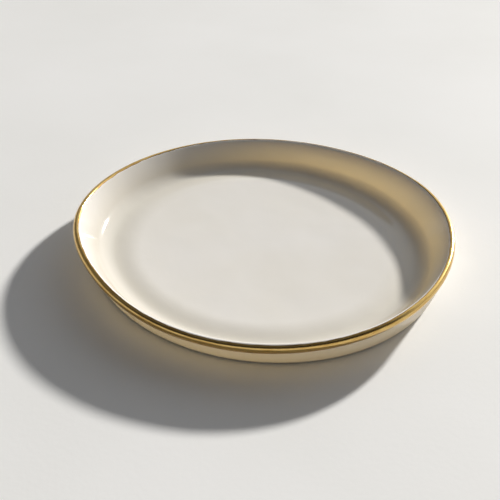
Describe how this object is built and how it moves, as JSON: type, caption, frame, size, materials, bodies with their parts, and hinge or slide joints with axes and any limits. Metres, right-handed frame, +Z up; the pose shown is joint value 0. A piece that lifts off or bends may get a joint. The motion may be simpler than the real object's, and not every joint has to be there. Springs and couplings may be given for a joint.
{
  "type": "ring dish",
  "caption": "Shallow round porcelain dish with a flat foot, a low flared wall, an uneven gilded lip and an open glazed well for rings and small jewellery.",
  "frame": {"origin": "centre of the well's axis on the plane that the foot rests on", "axes": "+Z up out of the well, +X to the right and -Y towards the viewer of the picture"},
  "size_m": [0.0907, 0.091, 0.0094],
  "materials": {
    "porcelain": "bare, smooth and matt",
    "glaze": "clear gloss over warm white",
    "gold_lustre": "bright, brushed on by hand"
  },
  "bodies": {
    "root": {"porcelain_body": "porcelain", "glaze_coat": "glaze", "gold_rim": "gold_lustre"}
  },
  "joints": []
}
